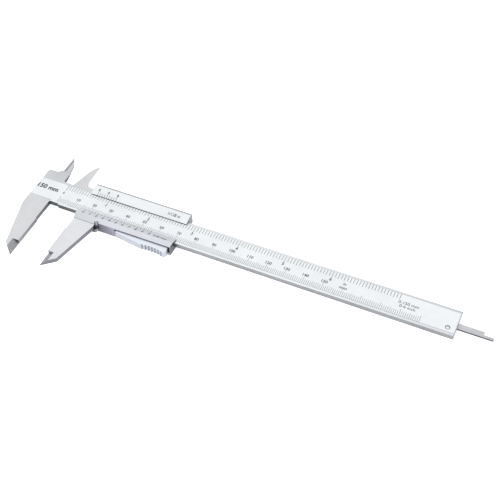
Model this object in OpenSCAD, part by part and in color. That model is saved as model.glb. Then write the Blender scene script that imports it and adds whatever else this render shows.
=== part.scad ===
// Vernier caliper with a thumb clamp, lying on the back of its slider, face up.
// Sizes are worked out from the zero line of the main scale: X runs along the beam away from
// the jaws, Y across it towards the inside jaws, and Z = 0 is the front face of the beam.
// Each piece is then moved so that the origin is the bottom centre of the whole caliper.

/* [Measuring] */
// Largest size that the caliper measures
measuring_range = 150; // [100:5:300]
// Gap between the outside jaws as the caliper lies
opening = 17.6; // [2:0.1:60]
// From the outside measuring faces to the zero line
zero_offset = 3.7; // [1:0.1:6]

/* [Beam] */
// Width of the beam
beam_w = 16; // [12:0.1:24]
// Thickness of the beam
beam_t = 2.8; // [2.4:0.05:5]
// Beam left over past the slider at full range
beam_tail = 14.5; // [12:0.1:30]
// Width of the bevelled rail along each edge of the front
rail_w = 1.6; // [0.8:0.1:2]
// Depth of that bevel
rail_drop = 0.15; // [0.1:0.05:0.5]
// Depth that the jaws' fronts are ground below the scale panel
ground_step = 0.1; // [0.05:0.05:0.2]

/* [Outside jaws] */
// From the beam's lower edge to the jaw tips
jaw_depth = 38.7; // [30:0.1:60]
// How much thinner than the beam the outside jaws are ground
jaw_thinning = 0.1; // [0.1:0.05:0.8]
// Length of the lapped measuring faces
jaw_face_l = 25.9; // [15:0.1:35]
// Relief of the jaws above the measuring faces
jaw_relief = 0.4; // [0.4:0.1:1.5]
// Width of the fixed jaw where it meets the beam
fixed_head_w = 13.4; // [10:0.1:20]
// Width of the fixed jaw above its pointed tip
fixed_tip_w = 5.7; // [4:0.1:8]
// Width of the moving jaw where it meets the slider
moving_root_w = 12.8; // [9:0.1:15]
// Width of the moving jaw above its pointed tip
moving_tip_w = 6.9; // [4:0.1:8]
// Length of the knife edge at the tips
knife_l = 8.8; // [5:0.1:12]
// Width of the knife edge's bevel
knife_w = 3.6; // [2:0.1:4]
// Thickness that is left at the knife edge
knife_t = 0.5; // [0.2:0.05:1]

/* [Inside jaws] */
// From the beam's upper edge to the blade tips
blade_reach = 19.9; // [12:0.1:25]
// From the fixed outside face to the inside blades' measuring line, the jaws shut
blade_line = 6.3; // [4:0.1:8]
// Width of the fixed blade at its root
blade_w = 5.7; // [4:0.1:8]
// Width of the blades' bevels
blade_bevel_w = 2.7; // [1.5:0.1:3]
// Gap between the crossing blades
blade_gap = 0.1; // [0.05:0.05:0.3]
// Height of the fixed head above the beam's upper edge
head_h = 5.6; // [3:0.1:7]

/* [Slider] */
// Length of the slider
slider_l = 56.8; // [45:0.1:70]
// Height of the slider above the beam's upper edge
slider_top_h = 4.8; // [4:0.1:6]
// Depth of the slider below the beam's lower edge
slider_bottom_h = 4.8; // [4.8:0.1:8]
// How far the upper lip reaches over the beam's front
upper_lip_w = 2.25; // [1.5:0.05:3]
// How far the lower lip reaches over the beam's front
lower_lip_w = 2.5; // [1.5:0.05:3]
// Thickness of the front lips at the window
lip_edge_t = 0.4; // [0.2:0.05:0.6]
// Thickness of the front lips away from the window
lip_t = 1.7; // [1.4:0.05:2.5]
// Width of the bevels that carry the vernier scales
vernier_bevel_w = 3.8; // [2:0.1:5]
// Thickness of the back plate
back_t = 1.8; // [0.8:0.05:2]
// Clearance between the slider and the beam
slide_clearance = 0.02; // [0.01:0.01:0.05]

/* [Gib] */
// Thickness of the gib strip
gib_t = 0.8; // [0.5:0.05:1.2]
// How far the gib strip stops short of each end of the slider
gib_inset = 3.65; // [1:0.05:8]
// Radius of the gib screws
gib_screw_r = 1; // [0.8:0.05:1.2]
// From each end of the slider to its gib screw
gib_screw_inset = 11.65; // [10:0.05:20]

/* [Depth rod] */
// Width of the depth rod
rod_w = 3.5; // [2.5:0.1:5]
// Thickness of the depth rod
rod_t = 1.1; // [0.8:0.05:1.3]
// Clearance between the rod and its groove
rod_clearance = 0.1; // [0.05:0.05:0.3]
// Length of the step at the rod's tip
rod_step_l = 5; // [2:0.1:8]
// Radius of the rod's rivets
rivet_r = 0.8; // [0.5:0.05:1]

/* [Guide plate] */
// Length of the plate that closes the rod's groove at the beam's end
plate_l = 11.3; // [9:0.1:12]
// Width of that plate
plate_w = 13; // [12:0.1:15]
// Thickness of that plate
plate_t = 0.95; // [0.7:0.05:1]
// Radius of its screws
plate_screw_r = 1; // [0.8:0.05:1.3]
// Distance between its screws
plate_screw_gap = 8; // [7:0.1:9]

/* [Thumb lever] */
// Length of the thumb lever
lever_l = 30.4; // [24:0.1:33]
// From the lever's free end to its pivot
lever_arm = 20.5; // [14:0.1:22]
// Thickness of the slider's wall in front of the lever
lever_cover = 0.7; // [0.4:0.05:0.8]
// How far the lever's free end stands below the slider
lever_drop = 4.2; // [3:0.1:6]
// Depth of the hollow that the thumb presses
pad_hollow = 0.75; // [0.3:0.05:1.2]
// Number of grooves across the thumb pad
pad_grooves = 7; // [3:1:8]
// Radius of those grooves
pad_groove_r = 0.42; // [0.2:0.02:0.5]
// Radius of the pivot pin
pivot_r = 0.9; // [0.6:0.05:1]
// Running clearance on the pivot pin
pivot_clearance = 0.03; // [0.01:0.01:0.08]
// Radius of the spring
spring_r = 1.1; // [0.8:0.05:1.3]
// Thickness of the spring's wire
spring_wire = 0.35; // [0.2:0.05:0.4]

/* [Hidden] */

// Places along the beam, from the zero line
face_x = -zero_offset;
head_x = face_x - fixed_head_w;
moving_x = face_x + opening;
slider_x = moving_x + 0.1;
slider_end = slider_x + slider_l;
slider_far_end = slider_end + measuring_range - opening;
beam_end = slider_far_end + beam_tail;
rod_tip = beam_end + opening;
blade_x = face_x - blade_line;
moving_blade_x = blade_x + opening;

// Places across the beam, from its centre line
edge = beam_w / 2;
tip_y = -edge - jaw_depth;
face_top_y = tip_y + jaw_face_l;
knife_y = tip_y + knife_l;
blade_tip_y = edge + blade_reach;
slider_top = edge + slider_top_h;
slider_bottom = -edge - slider_bottom_h;
window_top = edge - upper_lip_w;
window_bottom = -edge + lower_lip_w;
gib_y = edge + slide_clearance;
channel_top = gib_y + gib_t + slide_clearance;

// Depths, from the beam's front face
mid_z = -beam_t / 2;
jaw_t = beam_t - jaw_thinning;
channel_z = -beam_t - slide_clearance;
slider_back = channel_z - back_t;

// Bottom centre of the whole caliper
centre_x = (head_x + rod_tip) / 2;
centre_y = (tip_y + blade_tip_y) / 2;

// A cut runs this far past the faces that it opens
past = 1;
round_fn = 48;

// Clearances around a pressed pin and around a screw
pressed = 0.01;
threaded = 0.02;

module placed() translate([-centre_x, -centre_y, -slider_back]) children();

// The points of an outline whose corners are given as [x, y, radius]
function unit(v) = v / norm(v);
function corner(a, b, c, r, steps = 6) =
    let (u = unit(a - b), v = unit(c - b), half = acos(u * v) / 2,
        centre = b + unit(u + v) * r / sin(half), start = b + u * r / tan(half) - centre,
        turn = (180 - 2 * half) * sign(cross(b - a, c - b)))
    [for (i = [0:steps]) let (t = turn * i / steps)
        centre + [start[0] * cos(t) - start[1] * sin(t), start[0] * sin(t) + start[1] * cos(t)]];
function rounded(p) = let (n = len(p), q = [for (k = p) [k[0], k[1]]])
    [for (i = [0:n - 1]) each p[i][2] > 0
        ? corner(q[(i + n - 1) % n], q[i], q[(i + 1) % n], p[i][2]) : [q[i]]];

// An outline in X and Y, from height z up by h
module slab(p, z, h) translate([0, 0, z]) linear_extrude(h) polygon(rounded(p));

// An outline in Y and Z, from x along by l
module bar(p, x, l) translate([x, 0, 0]) rotate([90, 0, 90]) linear_extrude(l) polygon(p);

// An outline in X and Z, from y up by h
module wedge(p, y, h) translate([0, y + h, 0]) rotate([90, 0, 0]) linear_extrude(h) polygon(p);

// ---- Beam with the fixed jaws ----

head_taper = 13.1;
head_round = 8;
head_slope = 0.2;
fixed_tip_rise = 0.96;
shoulder_y = edge + head_h + 1.6;
blade_flare = 0.7;
blade_shoulder_y = edge + 4.8;
flank_tilt = 45;
flank_step = 0.2;
notch_l = 5;
notch_h = 0.6;
groove_start = slider_x - opening - 1.5;
rod_top = -beam_t + rod_t + slide_clearance;
screw_x = beam_end - 4.2;
screw_hole_roof = 0.8;

module beam_bar() bar([
    [-edge, -beam_t], [edge, -beam_t], [edge, -rail_drop], [edge - rail_w, 0],
    [-edge + rail_w, 0], [-edge, -rail_drop / 3]], face_x, beam_end - face_x);

// The head and the outside jaw, to the notch where the jaw meets the beam
module fixed_head() slab([
    [head_x, edge + head_h - head_slope, 0.8],
    [head_x, -head_taper, head_round],
    [face_x - fixed_tip_w, tip_y + fixed_tip_w * fixed_tip_rise, 0.5],
    [face_x, tip_y, 0],
    [face_x, face_top_y, 0],
    [face_x - jaw_relief, face_top_y + jaw_relief / 2, 0],
    [face_x - jaw_relief, -edge + notch_h, 0.4],
    [face_x + notch_l, -edge + notch_h, 0],
    [face_x + notch_l, edge - rail_w, 0],
    [blade_x + blade_w + blade_flare, edge - rail_w, 0],
    [blade_x + blade_w + blade_flare, edge, 0],
    [blade_x + blade_w - 1, blade_shoulder_y, 0],
    [blade_x + blade_bevel_w, shoulder_y, 0],
    [blade_x - head_slope, shoulder_y, 0.3],
    [blade_x - 1.2, edge + head_h, 0.6]], -beam_t, beam_t - ground_step);

// The outside jaw is ground thinner than the beam, on its back
module jaw_back_cut() translate([head_x - past, tip_y - past, -beam_t - past])
    cube([fixed_head_w + 2 * past, slider_bottom - tip_y + past, jaw_thinning + past]);

// The satin panel runs on over the head
module head_panel() translate([head_x, -edge + rail_w, -beam_t])
    cube([face_x - head_x + notch_l, beam_w - 2 * rail_w, beam_t]);

module fixed_blade() slab([
    [blade_x, edge, 0],
    [blade_x + blade_w + blade_flare, edge, 0],
    [blade_x + blade_w, blade_shoulder_y, 12],
    [blade_x + blade_w * 0.65, edge + blade_reach * 0.7, 14],
    [blade_x, blade_tip_y, 0]], mid_z + blade_gap / 2, -mid_z - blade_gap / 2 - ground_step);

// Cut that leaves a knife edge at the back of an outside jaw's face at x
module knife_cut(x, side) wedge([
    [x + side * knife_w, 0], [x, knife_t - jaw_t], [x - side * past, knife_t - jaw_t],
    [x - side * past, past],
    [x + side * knife_w, past]], tip_y - past, knife_l + past);

module fixed_blade_bevel() wedge([
    [blade_x - past, mid_z + blade_gap / 2], [blade_x, mid_z + blade_gap / 2],
    [blade_x + blade_bevel_w, 0], [blade_x + blade_bevel_w, past], [blade_x - past, past]],
    shoulder_y, blade_reach);

// The root of the fixed blade slopes away on the side of the jaws' gap
module fixed_blade_flank() translate([blade_x + blade_w - flank_step, edge + flank_step,
    -ground_step]) rotate([0, flank_tilt, 0])
    cube([2 * blade_w, blade_reach, 2 * beam_t]);

// The head's back half makes room for the moving blade when the jaws are shut
module blade_room() translate([head_x - past, edge + slide_clearance, -beam_t - past])
    cube([fixed_head_w + past + 2, blade_reach, -mid_z + past + blade_gap / 2]);

module rod_groove() translate([groove_start, -rod_w / 2 - rod_clearance, -beam_t - past])
    cube([beam_end - groove_start + past, rod_w + 2 * rod_clearance,
        past + rod_top + rod_clearance + beam_t]);

module beam() color("gainsboro") placed() difference() {
    union() {
        difference() {
            union() {
                difference() {
                    beam_bar();
                    translate([face_x - past, -edge - past, -beam_t - past])
                        cube([notch_l + past, notch_h + past, beam_t + 2 * past]);
                }
                fixed_head();
                head_panel();
            }
            blade_room();
        }
        fixed_blade();
    }
    knife_cut(face_x, -1);
    jaw_back_cut();
    fixed_blade_bevel();
    fixed_blade_flank();
    rod_groove();
    for (y = [-1, 1]) translate([screw_x, y * plate_screw_gap / 2, -beam_t - past])
        cylinder(r = plate_screw_r + threaded,
            h = past + beam_t + (y < 0 ? past : -screw_hole_roof), $fn = round_fn);
}

// ---- Guide plate over the rod's groove, at the beam's end ----

plate_x = slider_far_end + 1;
plate_round = 0.8;
countersink_h = 0.7;
countersink_r = 0.9;
screw_slot_w = 0.5;
screw_slot_depth = 0.4;
screw_end_gap = 0.2;

module rod_guide_plate() color("silver") placed() difference() {
    slab([[plate_x, -plate_w / 2, plate_round],
        [plate_x + plate_l, -plate_w / 2, plate_round],
        [plate_x + plate_l, plate_w / 2, plate_round],
        [plate_x, plate_w / 2, plate_round]], -beam_t - plate_t, plate_t);
    for (y = [-1, 1]) translate([screw_x, y * plate_screw_gap / 2, -beam_t - plate_t]) {
        translate([0, 0, -past])
            cylinder(r = plate_screw_r + threaded, h = plate_t + 2 * past, $fn = round_fn);
        cylinder(r1 = plate_screw_r + countersink_r, r2 = plate_screw_r, h = countersink_h,
            $fn = round_fn);
    }
}

// One screw comes through to the front of the beam and the other ends blind
module guide_plate_screws() color("dimgray") placed()
    for (y = [-1, 1]) translate([screw_x, y * plate_screw_gap / 2, -beam_t - plate_t])
        difference() {
            union() {
                cylinder(r = plate_screw_r, $fn = round_fn,
                    h = plate_t + beam_t - screw_end_gap - (y < 0 ? 0 : screw_hole_roof));
                cylinder(r1 = plate_screw_r + countersink_r - threaded,
                    r2 = plate_screw_r - threaded, h = countersink_h, $fn = round_fn);
            }
            translate([-plate_screw_r - countersink_r, -screw_slot_w / 2, -past])
                cube([2 * plate_screw_r + 2 * countersink_r, screw_slot_w,
                    past + screw_slot_depth]);
        }

// ---- Slider with the moving jaws ----

relief_r = 1.2;
root_right = moving_x + moving_root_w;
root_h = 1.6;
moving_tip_rise = 0.86;
top_chamfer_w = 1.4;
top_chamfer_h = 0.5;
ledge_h = 2.8;
moving_blade_w = 7.4;
ledge_round = 2.2;
slope_w = 3;
slope_z = 0.2;
slot_end_wall = 0.4;
slot_end_gap = 0.5;
slot_nose_gap = 0.9;
slot_end = slider_end - slot_end_wall;
slot_x = slot_end - slot_end_gap - lever_l - slot_nose_gap;
slot_wall = 1.2;
lever_side_gap = 0.07;
slot_roof = -edge - slot_wall;
slot_front = lip_t - lever_cover;
lever_t = slot_front - channel_z - 2 * lever_side_gap;
nose_window_l = 4.8;

module slider_body() bar([
    [slider_bottom, slider_back], [slider_top, slider_back],
    [slider_top, lip_t - top_chamfer_h], [slider_top - top_chamfer_w, lip_t],
    [window_top + vernier_bevel_w, lip_t], [window_top, lip_edge_t],
    [window_top, slide_clearance],
    [channel_top, slide_clearance], [channel_top, channel_z],
    [-edge - slide_clearance, channel_z], [-edge - slide_clearance, slide_clearance],
    [window_bottom, slide_clearance], [window_bottom, lip_edge_t],
    [window_bottom - vernier_bevel_w, lip_t], [slider_bottom, lip_t]], slider_x, slider_l);

// The moving outside jaw runs up into the slider's lower rail
module moving_jaw() slab([
    [moving_x, tip_y, 0],
    [moving_x + moving_tip_w, tip_y + moving_tip_w * moving_tip_rise, 1],
    [root_right, slider_bottom - root_h, 0],
    [root_right, slider_bottom + past, 0],
    [moving_x + jaw_relief, slider_bottom + past, 0],
    [moving_x + jaw_relief, face_top_y + jaw_relief / 2, 0],
    [moving_x, face_top_y, 0]], -jaw_t, jaw_t);

// The back plate reaches down behind the jaw's root
module jaw_root() slab([
    [slider_x, slider_bottom + past, 0], [slider_x, slider_bottom - root_h, 0.8],
    [root_right + 0.6, slider_bottom - root_h, 1.2],
    [root_right + 2.2, slider_bottom + past, 0]], slider_back, -jaw_t - slider_back);

module moving_blade() slab([
    [moving_blade_x - moving_blade_w, edge + 0.1, 0],
    [slider_x + 1, edge + 0.1, 0],
    [slider_x + 1, edge + ledge_h, 0],
    [moving_blade_x, edge + ledge_h, ledge_round],
    [moving_blade_x, blade_tip_y, 0],
    [moving_blade_x - blade_w * 0.65, edge + blade_reach * 0.76, 14]],
    -beam_t, mid_z + beam_t - blade_gap / 2);

module moving_blade_bevel() wedge([
    [moving_blade_x + past, mid_z - blade_gap / 2], [moving_blade_x, mid_z - blade_gap / 2],
    [moving_blade_x - blade_bevel_w, -beam_t], [moving_blade_x - blade_bevel_w, -beam_t - past],
    [moving_blade_x + past, -beam_t - past]], edge + ledge_h + 2, blade_reach);

// The lower lip slopes down to meet the jaw's front
module root_slope() bar([
    [slider_bottom - past, slope_z], [slider_bottom, slope_z],
    [slider_bottom + slope_w, lip_t], [slider_bottom + slope_w, lip_t + past],
    [slider_bottom - past, lip_t + past]], slider_x - past, root_right - slider_x + past);

// Milled relief in the corner between the jaw and the slider's underside
module corner_relief() translate([root_right + relief_r, slider_bottom, -beam_t])
    cylinder(r = relief_r, h = beam_t + lip_t + past, $fn = round_fn);

module lever_slot() slab([
    [slot_x, slider_bottom - past, 0], [slot_end, slider_bottom - past, 0],
    [slot_end, slot_roof, 0.4], [slot_x, slot_roof, 1.2]], channel_z, slot_front - channel_z);

// Window through which the lever's nose reaches the beam
module nose_window() translate([nose_x - nose_window_l / 2, slot_roof - past, channel_z])
    cube([nose_window_l, slot_wall + 2 * past, -channel_z]);

module slider() color("whitesmoke") placed() difference() {
    union() {
        slider_body();
        moving_jaw();
        jaw_root();
        moving_blade();
    }
    knife_cut(moving_x, 1);
    moving_blade_bevel();
    root_slope();
    corner_relief();
    lever_slot();
    nose_window();
    for (x = gib_screw_xs) translate([x, channel_top - past, mid_z]) rotate([-90, 0, 0])
        cylinder(r = gib_screw_r + threaded, h = slider_top_h + 2 * past, $fn = round_fn);
    translate([pivot_x, pivot_y, slider_back - past])
        cylinder(r = pivot_r + pressed, h = pin_top + pressed - slider_back + past,
            $fn = round_fn);
    for (x = rivet_xs) translate([x, 0, slider_back - past]) {
        cylinder(r = rivet_r + pressed, h = back_t + 2 * past, $fn = round_fn);
        cylinder(r = rivet_head_r + pressed, h = past + rivet_head_t, $fn = round_fn);
    }
}

// ---- Gib strip and its screws ----

gib_l = slider_l - 2 * gib_inset;
gib_side_gap = 0.1;
gib_screw_xs = [slider_x + gib_screw_inset, slider_end - gib_screw_inset];
gib_screw_sunk = 0.4;
gib_slot_w = 0.4;
gib_slot_depth = 0.7;

module gib_strip() color("peru") placed() translate([slider_x + gib_inset, gib_y, channel_z + gib_side_gap])
    cube([gib_l, gib_t, beam_t - 2 * gib_side_gap]);

module gib_screws() color("dimgray") placed()
    for (x = gib_screw_xs) difference() {
        translate([x, gib_y + gib_t, mid_z]) rotate([-90, 0, 0])
            cylinder(r = gib_screw_r, h = slider_top - gib_screw_sunk - gib_y - gib_t,
                $fn = round_fn);
        translate([x - gib_screw_r - past, slider_top - gib_screw_sunk - gib_slot_depth,
            mid_z - gib_slot_w / 2])
            cube([2 * gib_screw_r + 2 * past, past + gib_slot_depth, gib_slot_w]);
    }

// ---- Depth rod, riveted to the slider's back plate ----

rod_x = slider_x + 1;
rod_foot_l = 14;
rod_step_w = 0.1;
rivet_head_t = 0.45;
rivet_head_r = rivet_r + 0.48;
rivet_xs = [rod_x + 3.5, rod_x + 10.5];

module depth_rod() color("lightgray") placed() difference() {
    union() {
        translate([rod_x, -rod_w / 2, -beam_t + slide_clearance])
            cube([rod_tip - rod_x, rod_w, rod_t]);
        translate([rod_x, -rod_w / 2, channel_z]) cube([rod_foot_l, rod_w, rod_t]);
    }
    translate([rod_tip - rod_step_l, -rod_step_w, -beam_t - past])
        cube([rod_step_l + past, rod_w, beam_t + past]);
    for (x = rivet_xs) translate([x, 0, -beam_t - past])
        cylinder(r = rivet_r + pressed, h = beam_t + past, $fn = round_fn);
}

module depth_rod_rivets() color("silver") placed()
    for (x = rivet_xs) translate([x, 0, slider_back]) {
        cylinder(r = rivet_r, h = rod_top - slider_back, $fn = round_fn);
        cylinder(r = rivet_head_r, h = rivet_head_t, $fn = round_fn);
    }

// ---- Thumb lever, its pivot and its spring ----

lever_end = slot_end - slot_end_gap;
lever_x = lever_end - lever_l;
lever_back = channel_z + lever_side_gap;
lever_low = slider_bottom - lever_drop;
lever_travel_gap = 2.1;
lever_top = slot_roof - lever_travel_gap;
lever_roof_gap = 0.3;
pivot_x = lever_end - lever_arm;
pivot_y = -edge - 3.2;
pin_top = slot_front + 0.25;
nose_x = lever_x + 4.9;
nose_front = -0.1;
pad_l = 12.8;
pad_end = lever_end - 1;
pad_x = pad_end - pad_l;
pad_low = lever_low + 0.7;
groove_phase = 0.35;
spring_x = lever_end - 6;
spring_z = lever_back + lever_t / 2;
spring_seat = slider_bottom - 1.2;
spring_side_gap = 0.25;

// The hollow of the thumb pad is an arc through its two ends
pad_chord = norm([pad_l, lever_low - pad_low]);
pad_r = (pow(pad_chord / 2, 2) + pow(pad_hollow, 2)) / (2 * pad_hollow);
pad_steps = 12;
pad_tilt = atan2(lever_low - pad_low, pad_l);
function pad_point(s) = let (half = asin(pad_chord / 2 / pad_r), a = half * (2 * s - 1))
    [pad_x + pad_l / 2, (pad_low + lever_low) / 2]
    + [cos(pad_tilt), sin(pad_tilt)] * pad_r * sin(a)
    + [-sin(pad_tilt), cos(pad_tilt)] * (pad_r * cos(a) - pad_r + pad_hollow);

module thumb_lever() color("aliceblue") placed() difference() {
    slab(concat(
        [[lever_x, slider_bottom - 1.3, 0.6], [pad_x, pad_low, 0]],
        [for (i = [1:pad_steps - 1]) let (p = pad_point(i / pad_steps)) [p[0], p[1], 0]],
        [[pad_end, lever_low, 0.6], [lever_end, lever_low + 1.2, 0.6],
            [lever_end - 0.4, lever_top, 0.4], [pivot_x, slot_roof - lever_roof_gap, 0],
            [nose_x + 1.9, slot_roof - lever_roof_gap, 0],
            [nose_x + 1.2, -edge - slide_clearance, 0.3],
            [nose_x - 1.2, -edge - slide_clearance, 0.3],
            [nose_x - 2, slot_roof - 2 * lever_roof_gap, 0],
            [lever_x + 0.6, slider_bottom + 0.9, 0],
            [lever_x, slider_bottom + 0.1, 0]]), lever_back, lever_t);
    translate([lever_x, slot_roof - lever_roof_gap / 2, nose_front])
        cube([nose_x - lever_x + nose_window_l, 2 * slot_wall, lever_t]);
    for (i = [0:pad_grooves - 1]) let (p = pad_point((i + groove_phase) / pad_grooves))
        translate([p[0], p[1], lever_back - past])
            cylinder(r = pad_groove_r, h = lever_t + 2 * past, $fn = 24);
    translate([pivot_x, pivot_y, lever_back - past])
        cylinder(r = pivot_r + pivot_clearance, h = lever_t + 2 * past, $fn = round_fn);
    translate([spring_x, spring_seat, spring_z]) rotate([-90, 0, 0])
        cylinder(r = spring_r + spring_side_gap, h = slot_roof - spring_seat, $fn = round_fn);
}

module lever_pivot_pin() color("silver") placed()
    translate([pivot_x, pivot_y, slider_back])
        cylinder(r = pivot_r, h = pin_top - slider_back, $fn = round_fn);

// A helix along Y between the lever's seat and the roof of its slot
spring_turns = 5;
spring_sides = 6;
spring_rings = 60;
spring_l = slot_roof - spring_seat - spring_wire;
wire_r = spring_wire / 2;
function spring_ring(i) = let (a = 360 * spring_turns * i / spring_rings)
    [for (k = [0:spring_sides - 1]) let (b = 360 * k / spring_sides,
        r = spring_r - wire_r + wire_r * cos(b))
        [r * cos(a), spring_l * i / spring_rings + wire_r * sin(b), r * sin(a)]];

module lever_spring() color("silver") placed()
    translate([spring_x, spring_seat + wire_r, spring_z]) polyhedron(
        points = [for (i = [0:spring_rings]) each spring_ring(i)],
        faces = concat([[for (k = [0:spring_sides - 1]) k]],
            [for (i = [0:spring_rings - 1], k = [0:spring_sides - 1])
                let (a = i * spring_sides + k, b = i * spring_sides + (k + 1) % spring_sides)
                [b, a, a + spring_sides, b + spring_sides]],
            [[for (k = [spring_sides - 1:-1:0]) spring_rings * spring_sides + k]]));

beam();
rod_guide_plate();
guide_plate_screws();
slider();
gib_strip();
gib_screws();
depth_rod();
depth_rod_rivets();
thumb_lever();
lever_pivot_pin();
lever_spring();
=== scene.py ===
# %% [markdown]
# # A vernier caliper with a thumb clamp
# The caliper is a flat steel tool: a graduated beam with fixed jaws at one end, and a slider
# that carries the moving jaws, two vernier scales, a depth rod and a thumb lever.
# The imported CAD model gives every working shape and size. This lesson adds what machining and
# finishing leave behind: broken edges, ground and chromed surfaces, and the engraved scales.

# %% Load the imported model
import math

import bmesh
import bpy
from mathutils import Matrix, Vector


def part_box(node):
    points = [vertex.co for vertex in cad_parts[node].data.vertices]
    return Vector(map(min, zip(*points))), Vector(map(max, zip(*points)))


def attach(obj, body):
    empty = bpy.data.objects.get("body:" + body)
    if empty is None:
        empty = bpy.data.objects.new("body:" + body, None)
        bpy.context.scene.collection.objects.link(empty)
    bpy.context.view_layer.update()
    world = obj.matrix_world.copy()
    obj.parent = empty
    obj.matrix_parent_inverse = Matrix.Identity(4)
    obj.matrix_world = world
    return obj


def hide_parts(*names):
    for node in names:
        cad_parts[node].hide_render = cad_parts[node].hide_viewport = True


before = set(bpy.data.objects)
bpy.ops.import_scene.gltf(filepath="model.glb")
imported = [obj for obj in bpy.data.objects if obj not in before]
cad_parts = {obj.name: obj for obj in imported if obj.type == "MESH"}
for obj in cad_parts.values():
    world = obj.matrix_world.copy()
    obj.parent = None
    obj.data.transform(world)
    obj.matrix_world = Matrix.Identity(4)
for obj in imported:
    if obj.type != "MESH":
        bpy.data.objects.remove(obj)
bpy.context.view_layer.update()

print("CAD nodes:", ", ".join(sorted(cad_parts)))

# %% [markdown]
# ## Datums
# A toolmaker measures everything from datums. Here they are the zero line of the main scale,
# the centre line of the beam and the beam's front face. They are read from the CAD boxes, so
# the marks stay on the metal if the model changes.

# %% Find the datums
MM = 0.001
ZERO_OFFSET = 3.7 * MM
HEAD_WIDTH = 13.4 * MM
SLIDER_LENGTH = 56.8 * MM
JAW_FACE_STEP = 0.1 * MM
beam_low, beam_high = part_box("beam")
rod_low, rod_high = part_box("depth_rod")
slider_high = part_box("slider")[1]
zero_x = beam_low.x + HEAD_WIDTH + ZERO_OFFSET
centre_y = (rod_low.y + rod_high.y) / 2
front_z = beam_high.z
slider_left = slider_high.x - SLIDER_LENGTH
vernier_x = slider_left - JAW_FACE_STEP + ZERO_OFFSET


def at(x, y, z=0.0):
    """A point given in millimetres from the datums, in the model's frame."""
    return Vector((zero_x + x * MM, centre_y + y * MM, front_z + z * MM))


reading = (vernier_x - zero_x) / MM
print(f"The vernier's zero stands at {reading:.1f} mm")

# %% [markdown]
# ## Camera
# A long lens from above and in front shows the whole length of the tool with little
# perspective. The three unit vectors are the camera's right, up and backward directions.

# %% Place the camera
camera_data = bpy.data.cameras.new("product_camera")
camera_data.lens = 70.594
camera_data.sensor_width = 36.0
camera_data.clip_start = 0.01
camera = bpy.data.objects.new("product_camera", camera_data)
bpy.context.scene.collection.objects.link(camera)
camera_right = Vector((0.91118985, 0.41160296, -0.01777793))
camera_up = Vector((-0.29891543, 0.69019048, 0.6590043))
camera_back = camera_right.cross(camera_up)
turn = Matrix((camera_right, camera_up, camera_back)).transposed()
camera.matrix_world = Matrix.Translation(at(248.676, -291.864, 372.658)) @ turn.to_4x4()
bpy.context.scene.camera = camera
bpy.context.scene.view_settings.view_transform = "Standard"
print("Camera", [round(v, 3) for v in camera.location])

# %% [markdown]
# ## Material helpers
# Colours are written as sRGB hex values, as a paint chart gives them, and Blender's shaders
# work in linear light, so one function converts them. A second small function adds a shader
# node with its settings and links.

# %% Colour and node helpers


def linear(hex_colour):
    """A linear RGBA colour from an sRGB hex value."""
    channels = [int(hex_colour[i:i + 2], 16) / 255 for i in (0, 2, 4)]
    return tuple(c / 12.92 if c <= 0.04045 else ((c + 0.055) / 1.055) ** 2.4
                 for c in channels) + (1.0,)


def add(tree, kind, settings=None, **inputs):
    """A node of that kind; each input is a value, or another node's output socket."""
    node = tree.nodes.new(kind)
    for key, value in (settings or {}).items():
        setattr(node, key, value)
    for key, value in inputs.items():
        socket = node.inputs[int(key[1:])] if key[0] == "i" and key[1:].isdigit() \
            else node.inputs[key.replace("_", " ")]
        if isinstance(value, bpy.types.NodeSocket):
            tree.links.new(value, socket)
        else:
            socket.default_value = value
    return node


print("The middle grey 808080 is", round(linear("808080")[0], 3), "in linear light")

# %% [markdown]
# ## A steel finish
# All the big pieces are the same stainless steel, and only the finish tells them apart. So one
# recipe makes them all: two close tones mixed by soft clouds and by a fine grain, and a gloss
# and a shallow relief that follow the same grain. A real grinding line is a few hundredths of a
# millimetre wide, too fine to show, so the grain is drawn about ten times as coarse.

# %% The recipe for steel
CLOUD_MM = 9
RAMP_START, RAMP_END = 0.35, 0.65
RELIEF = 0.02 * MM
GLOSS_SPREAD = 0.06
ALONG_X, ALONG_Y, ALONG_Z = (0.08, 1, 1), (1, 0.08, 1), (1, 1, 0.1)


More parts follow.
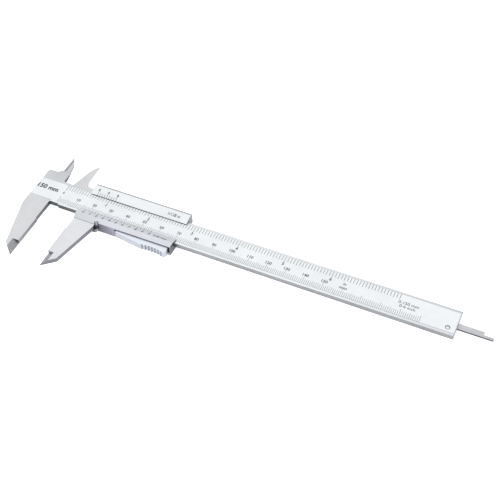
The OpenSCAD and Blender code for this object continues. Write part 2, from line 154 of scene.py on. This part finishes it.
def steel(name, light, dark, roughness, grain_mm, stretch=(1, 1, 1), bump=0.15, painted_shades=()):
    """Bare or chromed steel: two tones mixed by clouds and by a grain drawn out one way.

    Each painted shade is (point, reach in millimetres, colour): the tone is painted towards that
    colour near the point, a painted reflection of the metal around it in place of the white room.
    """
    finish = bpy.data.materials.new(name)
    finish.use_nodes = True
    tree = finish.node_tree
    shader = tree.nodes["Principled BSDF"]
    place = add(tree, "ShaderNodeTexCoord").outputs["Object"]
    cloud = add(tree, "ShaderNodeTexNoise", Vector=place, Scale=1 / (CLOUD_MM * MM), Detail=4.0,
                Roughness=0.6)
    drawn_out = add(tree, "ShaderNodeMapping", Vector=place, Scale=Vector(stretch))
    grain = add(tree, "ShaderNodeTexNoise", Vector=drawn_out.outputs[0],
                Scale=1 / (grain_mm * MM), Detail=3.0, Roughness=0.6)
    half_grain = add(tree, "ShaderNodeMath", {"operation": "MULTIPLY"},
                     i0=grain.outputs["Fac"], i1=0.5)
    mixture = add(tree, "ShaderNodeMath", {"operation": "MULTIPLY_ADD"},
                  i0=cloud.outputs["Fac"], i1=0.5, i2=half_grain.outputs[0])
    tone = add(tree, "ShaderNodeValToRGB", Fac=mixture.outputs[0])
    for stop, position, hex_colour in zip(tone.color_ramp.elements, (RAMP_START, RAMP_END),
                                          (dark, light)):
        stop.position = position
        stop.color = linear(hex_colour)
    gloss = add(tree, "ShaderNodeMapRange", Value=grain.outputs["Fac"])
    gloss.inputs["To Min"].default_value = roughness - GLOSS_SPREAD
    gloss.inputs["To Max"].default_value = roughness + GLOSS_SPREAD
    relief = add(tree, "ShaderNodeBump", Strength=bump, Distance=RELIEF,
                 Height=grain.outputs["Fac"])
    colour = tone.outputs[0]
    # Each painted shade mixes a darker colour into the base colour towards its point.
    for point, shade_reach, shade in painted_shades:
        away = add(tree, "ShaderNodeVectorMath", {"operation": "DISTANCE"}, i0=place, i1=point)
        near = add(tree, "ShaderNodeMapRange", Value=away.outputs["Value"])
        near.inputs["From Max"].default_value = shade_reach * MM
        blend = add(tree, "ShaderNodeMix", {"data_type": "RGBA"})
        tree.links.new(near.outputs[0], blend.inputs["Factor"])
        blend.inputs["A"].default_value = linear(shade)
        tree.links.new(colour, blend.inputs["B"])
        colour = blend.outputs["Result"]
    tree.links.new(colour, shader.inputs["Base Color"])
    tree.links.new(gloss.outputs[0], shader.inputs["Roughness"])
    tree.links.new(relief.outputs[0], shader.inputs["Normal"])
    shader.inputs["Metallic"].default_value = 1.0
    return finish


print("Clouds are", CLOUD_MM, "mm across, and the relief is", RELIEF / MM, "mm deep")

# %% [markdown]
# ## Scale faces
# The faces that carry the scales are blasted and then satin chromed, so the dark lines are easy
# to read and nothing glares: they look almost like paper. The rails beside them are ground, so
# they are a little greyer and show long lines.

# %% Finish the scale faces
# Satin chrome scatters the light evenly and reads as a soft white.
satin_chrome = steel("satin_chromed_steel", "c7cacb", "bec1c3", 0.42, 0.35, bump=0.08)
# The lower sloping lip faces away from the light, so its colour is painted a shade darker as
# painted shade.
slope_painted_shade_steel = steel("shaded_chromed_slope", "b2b5b9", "a9acb0", 0.42, 0.35, bump=0.08)
# The lower lip is chromed too, and painted darker than the panel, with painted shade deepening a
# little towards the moving jaw.
lower_lip_painted_shade_steel = steel("shaded_chromed_steel", "babbc0", "b1b2b8", 0.42, 0.35, bump=0.08,
                        painted_shades=[(at(14, -12, 1.7), 22, "adb0b3")])
# The upper rail is a thin ground band, with painted shade darkening it towards both ends of the
# beam.
rail_steel = steel("ground_rail_steel", "bcbec0", "b2b4b6", 0.36, 0.5, ALONG_X, 0.12,
                   painted_shades=[(at(217, 8), 70, "a4a6a8"), (at(-4, 8), 60, "a9abad")])
# The strip below the metric scale is nearly as bright as the scale itself, with painted shade
# darkening it towards the beam's right end.
strip_steel = steel("ground_strip_steel", "c6c9ca", "bdc0c2", 0.4, 0.4, ALONG_X, 0.1,
                    painted_shades=[(at(217, -7), 70, "b4b6bb")])
print("Scale faces:", satin_chrome.name, slope_painted_shade_steel.name, lower_lip_painted_shade_steel.name,
      rail_steel.name, strip_steel.name)

# %% [markdown]
# ## Ground jaws
# The jaws are surface ground, which leaves fine parallel lines along X and a greyer, slightly
# uneven tone. The bevels that thin them to an edge are ground across, and their colour is
# painted darker as painted shade, where they turn from the light.

# %% Finish the jaws
# The fixed jaws are grey, with painted shade darkening them around the small blade.
ground_steel = steel("surface_ground_steel", "b4b5b7", "a9abad", 0.34, 0.5, ALONG_X, 0.12,
                     painted_shades=[(at(-9, 15), 16, "a0a1a4")])
# The moving outside jaw is a little brighter.
jaw_steel = steel("finely_ground_steel", "bbbcbf", "b1b3b5", 0.34, 0.5, ALONG_X, 0.12)
# A bevel is painted a clear darker band beside its jaw, as painted shade.
bevel_painted_shade_steel = steel("ground_bevel_steel", "8b8e91", "7f8285", 0.34, 0.4, ALONG_Y, 0.12)
# The bevel of the small fixed blade is painted darker still, and its flank darkest of all, as
# painted shade.
blade_bevel_painted_shade_steel = steel("ground_blade_bevel_steel", "75787b", "696c6f", 0.34, 0.4, ALONG_Y,
                          0.12)
blade_flank_painted_shade_steel = steel("ground_blade_flank_steel", "616467", "56595c", 0.34, 0.4, ALONG_Y,
                          0.12)
print("Jaws:", ground_steel.name, jaw_steel.name, bevel_painted_shade_steel.name, blade_bevel_painted_shade_steel.name,
      blade_flank_painted_shade_steel.name)

# %% [markdown]
# ## Milled edges
# The narrow edges are milled and never polished. Their colour is painted dark as a painted
# reflection: facing sideways or down, they would reflect the dark metal beside them more than
# the white room, and the dark gives the tool its outline.

# %% Finish the edges
MILLED = (0.1, 1, 1)
# The beam's sides are painted grey, with painted shade turning almost black in the corner under
# the fixed jaw.
beam_edge_painted_shade_steel = steel("milled_beam_edge_steel", "86878a", "7b7c7f", 0.36, 0.4, MILLED, 0.18,
                        painted_shades=[(at(3, -7), 38, "3f4246")])
# The slider's sides are painted darker as painted shade, most of all at its right end.
slider_edge_painted_shade_steel = steel("milled_slider_edge_steel", "6f6f76", "65656c", 0.36, 0.4, MILLED,
                          0.18, painted_shades=[(at(71, -11, -0.5), 16, "54545c")])
# The slider's underside is painted a bluish grey as a painted reflection of the lever, with
# painted shade darkening it towards the notch.
underside_painted_shade_steel = steel("milled_underside_steel", "8e8e99", "848491", 0.36, 0.4, MILLED, 0.18,
                        painted_shades=[(at(28.5, -12.8, -1), 10, "55545d")])
# The round notch behind the moving jaw is painted brighter, a painted highlight where it turns to
# the light.
notch_painted_highlight_steel = steel("milled_relief_steel", "94949b", "8a8a92", 0.36, 0.4, ALONG_Z, 0.12)
# The edges where the lips meet the beam are painted near black, a painted shadow line there.
shadow_line_steel = steel("painted_shadow_edge_steel", "2c2d30", "232427", 0.45, 0.4)
print("Edges:", beam_edge_painted_shade_steel.name, slider_edge_painted_shade_steel.name, underside_painted_shade_steel.name,
      notch_painted_highlight_steel.name, shadow_line_steel.name)

# %% [markdown]
# ## Lever, rod and small hardware
# The lever is pressed from sheet and plated, with a cool bright face. The rod is drawn bar with
# long lines. The gib's screws are blackened, the spring is bright wire, and the gib is sheet
# brass, which slides on steel without scoring it.

# %% Finish the small metals
DRAWN = (0.05, 1, 1)
# The lever's face is bright, its sides are painted a little greyer as painted shade, and its
# grooves are dull and painted dark as painted shade.
lever_steel = steel("pressed_lever_steel", "c2c5cb", "b8bbc2", 0.36, 0.35, bump=0.08)
lever_edge_painted_shade_steel = steel("lever_edge_painted_shade_steel", "a6a9b2", "9a9da7", 0.4, 0.35, bump=0.08)
groove_painted_shade_steel = steel("lever_groove_steel", "6c6f79", "60636c", 0.45, 0.35, bump=0.08)
# The drawn rod shows long lines on its face, and its side is painted dark as painted shade.
bright_steel = steel("drawn_rod_steel", "a5a7a9", "97989b", 0.3, 0.4, DRAWN, 0.1)
rod_edge_painted_shade_steel = steel("drawn_rod_edge_steel", "4e5054", "44464a", 0.35, 0.4, DRAWN)
# Wire, blackened screws and brass are seen only through small gaps and from behind.
spring_steel = steel("spring_wire_steel", "9a9da1", "85888c", 0.25, 0.3)
dark_steel = steel("blackened_screw_steel", "4c4d50", "3e3f42", 0.38, 0.3)
gib_brass = steel("sheet_brass", "b39357", "a38449", 0.32, 0.4, DRAWN)
print(len(bpy.data.materials), "metal finishes in all")

# %% [markdown]
# ## Engraving fill
# The scale lines are etched a few hundredths of a millimetre deep and filled with a black
# paint that dries flush. A thin dark solid on the surface shows the same line.

# %% Make the fill
PAINT_CLOUD_MM = 0.6


def paint(name, hex_colour, roughness):
    """A dull paint, a fifth darker or a quarter lighter from place to place."""
    finish = bpy.data.materials.new(name)
    finish.use_nodes = True
    tree = finish.node_tree
    shader = tree.nodes["Principled BSDF"]
    place = add(tree, "ShaderNodeTexCoord").outputs["Object"]
    cloud = add(tree, "ShaderNodeTexNoise", Vector=place, Scale=1 / (PAINT_CLOUD_MM * MM),
                Detail=2.0)
    tone = add(tree, "ShaderNodeValToRGB", Fac=cloud.outputs["Fac"])
    base = Vector(linear(hex_colour)[:3])
    tone.color_ramp.elements[0].color = (*(base * 0.8), 1)
    tone.color_ramp.elements[1].color = (*(base * 1.25), 1)
    tree.links.new(tone.outputs[0], shader.inputs["Base Color"])
    shader.inputs["Roughness"].default_value = roughness
    return finish


# The fill is a soft black, and the other two are greys of painted shadow, for the shallow panel
# line and for the chamfers.
engraving_fill = paint("black_engraving_fill", "26272a", 0.55)
panel_line_shadow_paint = paint("grey_line_shadow", "7d7f84", 0.6)
chamfer_shadow_paint = paint("painted_chamfer_shadow", "6f7175", 0.5)
print("Paints:", engraving_fill.name, panel_line_shadow_paint.name, chamfer_shadow_paint.name)

# %% [markdown]
# ## Machined pieces with broken edges
# A machinist breaks every outer edge with a stone, so it catches a thin line of light. The CAD
# solid is copied, its triangles are merged back into whole faces, and only the outward edges
# get a small bevel. Each face then takes its finish from the way it points and how high it
# lies, because that is how the tool is finished: fronts are ground or chromed, and edges are
# milled. Faces turned from the light also take finishes with painted shade in their colour.

# %% Break the edges of a solid
MERGE = 1e-6
SLIVER = 1e-7
BROKEN_EDGE_MM = 0.12


def machined(node, name, finishes, choose, edge_mm=BROKEN_EDGE_MM):
    """A copy of a CAD node with bevelled outward edges and a finish chosen face by face.

    Where two finishes meet at a bevel, the one that comes first in the list covers it.
    """
    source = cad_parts[node]
    form = bmesh.new()
    form.from_mesh(source.data)
    bmesh.ops.remove_doubles(form, verts=form.verts, dist=MERGE)
    bmesh.ops.dissolve_limit(form, angle_limit=math.radians(0.5), verts=form.verts,
                             edges=form.edges)
    form.normal_update()
    for face in form.faces:
        face.material_index = finishes.index(choose(face.calc_center_median(), face.normal))
    sharp = [edge for edge in form.edges if len(edge.link_faces) == 2 and edge.is_convex
             and edge.calc_face_angle() > math.radians(35)]
    bmesh.ops.bevel(form, geom=sharp, offset=edge_mm * MM, offset_type="OFFSET", segments=2,
                    profile=0.5, affect="EDGES", clamp_overlap=False, material=-1)
    bmesh.ops.dissolve_degenerate(form, dist=SLIVER, edges=form.edges)
    mesh = bpy.data.meshes.new(name)
    form.to_mesh(mesh)
    form.free()
    piece = bpy.data.objects.new(name, mesh)
    bpy.context.scene.collection.objects.link(piece)
    for finish in finishes:
        mesh.materials.append(finish)
    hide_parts(node)
    return piece


print("Every outward edge is broken by", BROKEN_EDGE_MM, "mm")

# %% [markdown]
# ## Beam
# The beam and its fixed jaws are one forging. Its scale panel and its back are chromed, the
# jaws and the two rails are ground, and every side is milled. A face's normal says which it is:
# a side has almost no Z in it, and a bevel has a little less than a front.

# %% Finish the beam
SIDE_Z, BEVEL_Z = 0.35, 0.96


def beam_finish(middle, normal):
    """Chromed scale panel and back, ground jaws and rails, and bevels and milled edges painted
    darker as painted shade.
    """
    on_jaws = middle.x < zero_x - ZERO_OFFSET + 1 * MM
    on_blade = on_jaws and middle.y > centre_y + 9 * MM
    if abs(normal.z) < SIDE_Z:
        return blade_flank_painted_shade_steel if on_blade and normal.x > 0.7 else beam_edge_painted_shade_steel
    # The flank that is ground to an angle faces the moving jaw.
    if normal.x > 0.3 and on_jaws:
        return blade_flank_painted_shade_steel if on_blade else beam_edge_painted_shade_steel
    if abs(normal.z) < BEVEL_Z and on_jaws:
        return blade_bevel_painted_shade_steel if on_blade else bevel_painted_shade_steel
    # The jaws lie one grinding step below the scale panel.
    if normal.z > 0 and on_jaws and middle.z < front_z - 0.05 * MM:
        return ground_steel
    # The rails fall away from the panel by a hair, so their normals lean a little.
    if 0.9 < normal.z < 0.99995 and abs(normal.y) > 0.01:
        return rail_steel if normal.y > 0 else strip_steel
    return satin_chrome


beam = machined("beam", "beam_with_fixed_jaws",
                [satin_chrome, ground_steel, bevel_painted_shade_steel, beam_edge_painted_shade_steel, rail_steel,
                 strip_steel, blade_bevel_painted_shade_steel, blade_flank_painted_shade_steel], beam_finish)
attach(beam, "beam_body")
print("Beam:", len(beam.data.polygons), "faces")

# %% [markdown]
# ## Slider
# The slider wraps round the beam. Its two lips are chromed, with a slope down to the scales, and
# its jaws are ground. The edges of the window and the top of the lever's slot are painted near
# black as painted shadow, and so they read as thin black lines.

# %% Finish the slider
NOTCH_X, NOTCH_Y, NOTCH_REACH = 13.9, -12.8, 1.5


def slider_finish(middle, normal):
    """Chromed lips, ground jaws, milled edges, and edges painted near black as painted shadow.

    along, over and up are millimetres from the slider's left end, the beam's centre line and
    the beam's front.
    """
    along = (middle.x - slider_left) / MM
    over = (middle.y - centre_y) / MM
    up = (middle.z - front_z) / MM
    if abs(normal.z) < SIDE_Z:
        if math.hypot(along - NOTCH_X, over - NOTCH_Y) < NOTCH_REACH:
            return notch_painted_highlight_steel
        at_window = abs(normal.y) > 0.9 and -0.1 < up < 0.6 and -6 < over < 7
        over_lever = normal.y < -0.9 and up > 1.0
        if at_window or over_lever:
            return shadow_line_steel
        return underside_painted_shade_steel if normal.y < -0.98 and over < -12 else slider_edge_painted_shade_steel
    # The ledge deep in the lever's slot, then the jaws, which lie below the beam's front.
    if normal.z > 0 and over < -12 and up < -2:
        return slider_edge_painted_shade_steel
    if normal.z > 0 and (over < -13 or up < -0.5):
        if normal.z < BEVEL_Z:
            return bevel_painted_shade_steel
        return jaw_steel if over < 0 else ground_steel
    # The chamfer along the top, and then the lower lip with its slope.
    if normal.z < BEVEL_Z and over > 11:
        return bevel_painted_shade_steel
    if normal.z > 0 and over < 0:
        return slope_painted_shade_steel if normal.z < 0.99 and over > -11 else lower_lip_painted_shade_steel
    return satin_chrome


slider = machined("slider", "slider_with_moving_jaws",
                  [satin_chrome, jaw_steel, bevel_painted_shade_steel, slider_edge_painted_shade_steel,
                   shadow_line_steel, lower_lip_painted_shade_steel, slope_painted_shade_steel, underside_painted_shade_steel,
                   ground_steel, notch_painted_highlight_steel], slider_finish)
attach(slider, "slider_body")
print("Slider:", len(slider.data.polygons), "faces")

# %% [markdown]
# ## Lever, rod and guide plate
# These three keep their CAD shapes, which are already as made, and take softer edges. The lever
# has a thumb pad near its free end, and only the walls of the pad's grooves are dull, and painted
# dark as painted shade.

# %% Finish the lever, the rod and the guide plate
pad_low, pad_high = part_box("thumb_lever")
PAD_START, PAD_END, PAD_DEPTH = 14 * MM, 1.5 * MM, 4 * MM


def lever_finish(middle, normal):
    """Bright faces, edges painted greyer, and dull grooves painted dark across the thumb pad, as
    painted shade.
    """
    if abs(normal.z) > 0.5:
        return lever_steel
    on_pad = (pad_high.x - PAD_START < middle.x < pad_high.x - PAD_END
              and middle.y < pad_low.y + PAD_DEPTH)
    groove_wall = abs(normal.x) > 0.45 and normal.y < 0.9
    return groove_painted_shade_steel if on_pad and groove_wall else lever_edge_painted_shade_steel


def rod_finish(middle, normal):
    return bright_steel if abs(normal.z) > 0.5 else rod_edge_painted_shade_steel


def plate_finish(middle, normal):
    return satin_chrome if abs(normal.z) > 0.5 else rod_edge_painted_shade_steel


for node, name, finishes, choose, body, slot, edge_mm in (
        ("thumb_lever", "thumb_lever_pressing", [lever_steel, lever_edge_painted_shade_steel, groove_painted_shade_steel],
         lever_finish, "lever_body", "lever_steel", 0.2),
        ("depth_rod", "depth_rod_bar", [bright_steel, rod_edge_painted_shade_steel], rod_finish,
         "slider_body", "rod_steel", 0.1),
        ("rod_guide_plate", "rod_guide_cover", [satin_chrome, rod_edge_painted_shade_steel], plate_finish,
         "beam_body", "plate_steel", 0.08)):
    piece = machined(node, name, finishes, choose, edge_mm)
    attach(piece, body)
    print(name, len(piece.data.polygons), "faces")

# %% [markdown]
# ## Small hardware
# The screws, the rivets, the pin, the spring and the gib are simple turned or bent pieces. The
# CAD solids are right as they are, so they only get a better material.

# %% Finish the hardware
hardware = {"gib_strip": gib_brass, "gib_screws": dark_steel, "guide_plate_screws": satin_chrome,
            "depth_rod_rivets": bright_steel, "lever_pivot_pin": bright_steel,
            "lever_spring": spring_steel}
for node, finish in hardware.items():
    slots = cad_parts[node].data.materials
    slots.clear()
    slots.append(finish)
    print(node, "is", finish.name)

# %% [markdown]
# ## Graduations
# A dividing engine cuts the scales one line at a time, at an exact pitch, and every few lines
# it cuts a longer one. That is a rule, so Geometry Nodes repeats it: a row of points, a
# bar on each point, and a length that depends on the point's number.

# %% Build the graduation tree
MARK_HEIGHT = 0.012


def graduation_tree():
    """A node tree that lays bars along X, longer at every A-th and every B-th line."""
    tree = bpy.data.node_groups.new("graduations", "GeometryNodeTree")
    face = tree.interface
    face.new_socket("Geometry", in_out="OUTPUT", socket_type="NodeSocketGeometry")
    for name, kind in (("Lines", "Int"), ("Pitch", "Float"), ("Width", "Float"),
                       ("Height", "Float"), ("Length", "Float"), ("Every A", "Int"),
                       ("Length A", "Float"), ("Every B", "Int"), ("Length B", "Float"),
                       ("Turn", "Float"), ("Finish", "Material")):
        face.new_socket(name, in_out="INPUT", socket_type="NodeSocket" + kind)
    given = tree.nodes.new("NodeGroupInput").outputs
    step = add(tree, "ShaderNodeCombineXYZ", X=given["Pitch"])
    row = add(tree, "GeometryNodeMeshLine", Count=given["Lines"], Offset=step.outputs[0])
    number = add(tree, "GeometryNodeInputIndex").outputs[0]
    length = given["Length"]
    for every, longer in (("Every A", "Length A"), ("Every B", "Length B")):
        left = add(tree, "ShaderNodeMath", {"operation": "MODULO"}, i0=number, i1=given[every])
        hit = add(tree, "ShaderNodeMath", {"operation": "LESS_THAN"}, i0=left.outputs[0], i1=0.5)
        pick = tree.nodes.new("GeometryNodeSwitch")
        pick.input_type = "FLOAT"
        tree.links.new(hit.outputs[0], pick.inputs["Switch"])
        tree.links.new(length, pick.inputs["False"])
        tree.links.new(given[longer], pick.inputs["True"])
        length = pick.outputs[0]
    bar = add(tree, "GeometryNodeMeshCube", Size=Vector((1, 1, 1)))
    lifted = add(tree, "GeometryNodeTransform", Geometry=bar.outputs[0],
                 Translation=Vector((0, 0.5, 0.5)))
    size = add(tree, "ShaderNodeCombineXYZ", X=given["Width"], Y=length, Z=given["Height"])
    angle = add(tree, "ShaderNodeCombineXYZ", Z=given["Turn"])
    bars = add(tree, "GeometryNodeInstanceOnPoints", Points=row.outputs[0],
               Instance=lifted.outputs[0], Rotation=angle.outputs[0], Scale=size.outputs[0])
    real = add(tree, "GeometryNodeRealizeInstances", Geometry=bars.outputs[0])
    done = add(tree, "GeometryNodeSetMaterial", Geometry=real.outputs[0],
               Material=given["Finish"])
    out = tree.nodes.new("NodeGroupOutput")
    tree.links.new(done.outputs[0], out.inputs[0])
    return tree


graduations = graduation_tree()
print("Graduation tree has", len(graduations.nodes), "nodes")

# %% [markdown]
# ## One scale from the tree
# A helper fills in the tree's inputs and turns the result into a plain mesh. It needs the short,
# medium and long line lengths, and how often the last two come.

# %% Lay one scale


def scale_lines(place, lines, pitch, lengths, longer_every, width, turned=False):
    """A mesh of graduation lines, sizes in millimetres, put in place by a matrix."""
    carrier = bpy.data.objects.new("scale_tree", bpy.data.meshes.new("scale_tree"))
    bpy.context.scene.collection.objects.link(carrier)
    modifier = carrier.modifiers.new("graduations", "NODES")
    modifier.node_group = graduations
    values = {"Lines": lines, "Pitch": pitch * MM, "Width": width * MM,
              "Height": MARK_HEIGHT * MM, "Length": lengths[0] * MM,
              "Every A": longer_every[0], "Length A": lengths[1] * MM,
              "Every B": longer_every[1], "Length B": lengths[2] * MM,
              "Turn": math.pi if turned else 0.0, "Finish": engraving_fill}
    for item in graduations.interface.items_tree:
        if item.in_out == "INPUT":
            modifier[item.identifier] = values[item.name]
    bpy.context.view_layer.update()
    mesh = bpy.data.meshes.new_from_object(
        carrier.evaluated_get(bpy.context.evaluated_depsgraph_get()))
    mesh.transform(place)
    bpy.data.objects.remove(carrier)
    return mesh


def level(x, y, z, tilt=0.0):
    """A place on a face: millimetres from the datums, tilted about X by degrees."""
    return Matrix.Translation(at(x, y, z)) @ Matrix.Rotation(math.radians(tilt), 4, "X")


print("A level place at the scale's zero:", [round(v, 4) for v in level(0, 0, 0).translation])

# %% [markdown]
# ## Numbers
# The numbers are stamped with plain engraver's digits. Blender's built-in font is close
# enough at this size. Each string becomes a thin mesh at once, so it is placed in the mesh.

# %% Make the numbers


def lettering(text, size, place, bold):
    """A mesh of a string whose digits are about 0.7 of the size in millimetres."""
    curve = bpy.data.curves.new("lettering", "FONT")
    curve.body = text
    curve.size = size * MM
    curve.extrude = MARK_HEIGHT / 2 * MM
    curve.offset = bold * MM
    curve.resolution_u = 3
    curve.align_x = "CENTER"
    curve.align_y = "CENTER"
    holder = bpy.data.objects.new("lettering", curve)
    bpy.context.scene.collection.objects.link(holder)
    bpy.context.view_layer.update()
    mesh = bpy.data.meshes.new_from_object(
        holder.evaluated_get(bpy.context.evaluated_depsgraph_get()))
    bpy.data.objects.remove(holder)
    mesh.transform(place)
    return mesh


def engraved(name, meshes, body, finish=engraving_fill):
    """One piece made of several mark meshes, riding on a body."""
    form = bmesh.new()
    for mesh in meshes:
        form.from_mesh(mesh)
    bmesh.ops.remove_doubles(form, verts=form.verts, dist=MERGE)
    bmesh.ops.dissolve_degenerate(form, dist=MERGE, edges=form.edges)
    bmesh.ops.recalc_face_normals(form, faces=form.faces)
    whole = bpy.data.meshes.new(name)
    form.to_mesh(whole)
    form.free()
    whole.materials.clear()
    whole.materials.append(finish)
    for polygon in whole.polygons:
        polygon.material_index = 0
    piece = bpy.data.objects.new(name, whole)
    bpy.context.scene.collection.objects.link(piece)
    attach(piece, body)
    print(name, len(whole.polygons), "faces")


print("Every mark is", MARK_HEIGHT, "mm thick")

# %% [markdown]
# ## The main scales
# The lower edge of the beam reads in millimetres, with a longer line every 5 and 10. The upper
# edge reads in sixteenths of an inch, and its last lines have no long one for a seventh inch.
# Both rows of numbers run along the middle of the beam.

# %% Engrave the beam
INCH = 25.4
METRIC_FOOT, INCH_FOOT = -6.45, 6.5
INCH_LINES = 98
main_scales = [
    scale_lines(level(0, METRIC_FOOT, 0), 201, 1.0, lengths=(2.9, 3.4, 4.1),
                longer_every=(5, 10), width=0.17),
    scale_lines(level(0, INCH_FOOT, 0), INCH_LINES, INCH / 16, lengths=(3.1, 3.4, 3.9),
                longer_every=(2, 16), width=0.22, turned=True),
    scale_lines(level(INCH_LINES / 16 * INCH, INCH_FOOT, 0), 21, INCH / 16,
                lengths=(3.1, 3.4, 3.4), longer_every=(2, 2), width=0.24, turned=True)]
metric_numbers = [lettering(str(n), 2.4, level(n, -1.1, 0), 0.06) for n in range(10, 151, 10)]
inch_numbers = [lettering(str(n), 2.5, level(n * INCH, 1.35, 0), 0.08) for n in range(1, 7)]
zero_marks = [lettering("0", 2.2, level(0, 0.6, 0), 0.04),
              lettering("in", 2.4, level(160, 1.2, 0), 0.05),
              lettering("mm", 2.6, level(160, -1.3, 0), 0.05)]
size_marks = [lettering("150 mm", 4.0, level(-10.2, 0.9, 0), 0.16),
              lettering("0-150 mm", 2.5, level(192.5, 1.6, 0), 0.02),
              lettering("0-6 inch", 2.5, level(192.5, -0.6, 0), 0.02)]
engraved("beam_graduations", main_scales, "beam_body")
engraved("beam_numbers", metric_numbers + inch_numbers + zero_marks + size_marks, "beam_body")

# %% [markdown]
# ## Lines that are not graduations
# A shallow line divides the scale panel from the ground strip below it, the end of the beam
# has a small chamfer, and the screw of the guide plate shows as a ring on the front. All three
# are drawn as flat solids in painted shadow grey.

# %% Add the panel line, the end line and the screw ring


def flat_bar(low, high):
    """A thin bar on the beam's front between two corners, in millimetres from the datums."""
    form = bmesh.new()
    bmesh.ops.create_cube(form, size=1.0)
    size = Vector((high[0] - low[0], high[1] - low[1], MARK_HEIGHT)) * MM
    middle = at((low[0] + high[0]) / 2, (low[1] + high[1]) / 2, MARK_HEIGHT / 2)
    form.transform(Matrix.Translation(middle) @ Matrix.Diagonal((*size, 1)))
    mesh = bpy.data.meshes.new("flat_bar")
    form.to_mesh(mesh)
    form.free()
    return mesh


def flat_ring(x, y, inner, outer, sides=40):
    """A thin ring on the beam's front, in millimetres from the datums."""
    form = bmesh.new()
    rows = []
    for radius, height in ((inner, 0), (outer, 0), (outer, MARK_HEIGHT), (inner, MARK_HEIGHT)):
        rows.append([form.verts.new(at(x + radius * math.cos(math.tau * k / sides),
                                       y + radius * math.sin(math.tau * k / sides), height))
                     for k in range(sides)])
    for row, next_row in zip(rows, rows[1:] + rows[:1]):
        for k in range(sides):
            n = (k + 1) % sides
            form.faces.new((row[k], row[n], next_row[n], next_row[k]))
    bmesh.ops.recalc_face_normals(form, faces=form.faces)
    mesh = bpy.data.meshes.new("flat_ring")
    form.to_mesh(mesh)
    form.free()
    return mesh


beam_end = (beam_high.x - zero_x) / MM
screw_low, screw_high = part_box("guide_plate_screws")
screw_x = ((screw_low.x + screw_high.x) / 2 - zero_x) / MM
engraved("panel_line", [flat_bar((6, -6.68), (beam_end - 0.5, -6.5))], "beam_body",
         panel_line_shadow_paint)
engraved("end_line", [flat_bar((beam_end - 0.42, -7.9), (beam_end - 0.12, 7.9))], "beam_body",
         chamfer_shadow_paint)
engraved("screw_ring", [flat_ring(screw_x, -4.0, 0.9, 1.3)], "beam_body",
         chamfer_shadow_paint)

# %% [markdown]
# ## The vernier scales
# A vernier's divisions are a little shorter than those of the scale it reads against, so only
# one of its lines meets a main line at a time. The metric one spreads 20 divisions over 39 mm,
# where the main scale has 40, and the inch one spreads 8 over seven sixteenths. Both lie on the
# sloping edges of the window.

# %% Engrave the slider
METRIC_STEP = 1.95
INCH_STEP = INCH * 7 / 16 / 8
LIP_EDGE, LIP_TOP, SLOPE_WIDTH = 0.4, 1.7, 3.8
SLOPE = math.degrees(math.atan2(LIP_TOP - LIP_EDGE, SLOPE_WIDTH))
WINDOW_TOP, WINDOW_BOTTOM = 5.75, -5.5


def slope_z(y):
    """Height of the sloping lip above the beam's front at y."""
    out = y - WINDOW_TOP if y > 0 else WINDOW_BOTTOM - y
    return LIP_EDGE + (LIP_TOP - LIP_EDGE) * min(out, SLOPE_WIDTH) / SLOPE_WIDTH


def on_slope(x, y):
    """A place on the sloping lip, tilted as the lip is."""
    return level(x, y, slope_z(y), SLOPE if y > 0 else -SLOPE)


verniers = [
    scale_lines(on_slope(reading, WINDOW_BOTTOM - 0.02), 21, METRIC_STEP,
                lengths=(1.7, 2.4, 2.4), longer_every=(2, 10), width=0.22, turned=True),
    scale_lines(on_slope(reading, WINDOW_TOP + 0.02), 9, INCH_STEP, lengths=(1.8, 2.4, 2.4),
                longer_every=(4, 4), width=0.22)]
metric_digits = [lettering(str(n % 10), 2.0, on_slope(reading + 2 * METRIC_STEP * n, -8.65), 0.08)
                 for n in range(11)]
inch_digits = [lettering(str(n), 2.0, on_slope(reading + INCH_STEP * n, 8.75), 0.08)
               for n in (0, 4, 8)]
units = [lettering("0.05 mm", 2.1, on_slope(62.9, -8.6), 0.05),
         lettering("1/128 in", 2.3, on_slope(62.3, 8.3), 0.04)]
engraved("vernier_graduations", verniers, "slider_body")
engraved("vernier_numbers", metric_digits + inch_digits + units, "slider_body")

# %% [markdown]
# ## Studio
# Steel shows what it reflects, so a steel tool looks its best in a white tent. A plain white
# world stands in for the tent, and one large lamp above gives the faces a little direction.

# %% Light the studio
world = bpy.data.worlds.new("white_tent")
world.use_nodes = True
world.node_tree.nodes["Background"].inputs["Color"].default_value = linear("ffffff")
world.node_tree.nodes["Background"].inputs["Strength"].default_value = 1.6
bpy.context.scene.world = world

FLOOR_REACH = 3.0
floor_mesh = bpy.data.meshes.new("studio_floor")
floor_mesh.from_pydata([(-FLOOR_REACH, -FLOOR_REACH, 0), (FLOOR_REACH, -FLOOR_REACH, 0),
                        (FLOOR_REACH, FLOOR_REACH, 0), (-FLOOR_REACH, FLOOR_REACH, 0)], [],
                       [(0, 1, 2, 3)])
floor = bpy.data.objects.new("studio_floor", floor_mesh)
bpy.context.scene.collection.objects.link(floor)
floor_paper = bpy.data.materials.new("white_paper")
floor_paper.use_nodes = True
floor_shader = floor_paper.node_tree.nodes["Principled BSDF"]
floor_shader.inputs["Base Color"].default_value = linear("fdfdfd")
floor_shader.inputs["Roughness"].default_value = 0.9
floor_shader.inputs["Specular IOR Level"].default_value = 0.0
floor_shader.inputs["Emission Color"].default_value = linear("ffffff")
floor_shader.inputs["Emission Strength"].default_value = 0.5
floor_mesh.materials.append(floor_paper)

lamp_data = bpy.data.lights.new("soft_box", "AREA")
lamp_data.size = 2.0
lamp_data.energy = 1.0
lamp = bpy.data.objects.new("soft_box", lamp_data)
lamp.location = (0.0, 0.6, 1.6)
lamp.rotation_euler = (Vector((0, 0, 0)) - lamp.location).to_track_quat("-Z", "Y").to_euler()
bpy.context.scene.collection.objects.link(lamp)
print("Studio ready")
